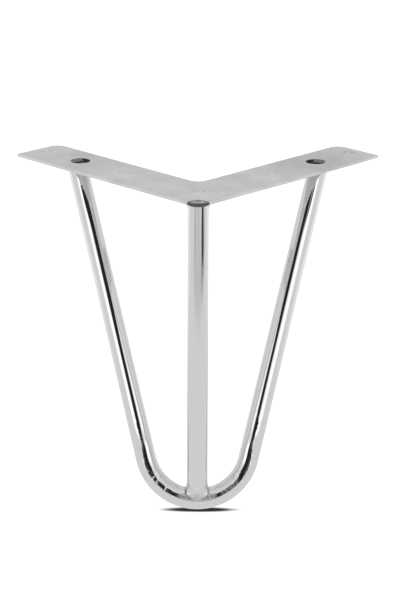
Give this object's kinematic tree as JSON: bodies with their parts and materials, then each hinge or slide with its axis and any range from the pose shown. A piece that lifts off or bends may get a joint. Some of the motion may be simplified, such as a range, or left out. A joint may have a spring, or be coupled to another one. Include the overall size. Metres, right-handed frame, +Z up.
{
  "type": "three-rod hairpin furniture leg",
  "caption": "Chromed steel hairpin leg: L-shaped screw-on plate, a bent rod that makes the foot and a straight corner rod welded to it.",
  "frame": {"origin": "centre of the corner screw hole on the plate's top face", "axes": "+Z up, out of the plate's top face; the plate's arms run back to the left and right at 45 degrees from +Y; +X to the right, seen with the plate's outer corner nearest"},
  "size_m": [0.1834, 0.1242, 0.15],
  "materials": {
    "plate_chrome": "bright chrome plate on laser-cut sheet steel, faint sheet grain",
    "rod_chrome": "mirror chrome plate on polished round bar",
    "weld_chrome": "chrome over dressed weld, slightly uneven"
  },
  "bodies": {
    "root": {"mounting_plate": "plate_chrome", "hairpin_rod": "rod_chrome", "corner_rod": "rod_chrome", "left_end_weld": "weld_chrome", "right_end_weld": "weld_chrome", "corner_end_weld": "weld_chrome", "foot_weld": "weld_chrome"}
  },
  "joints": []
}
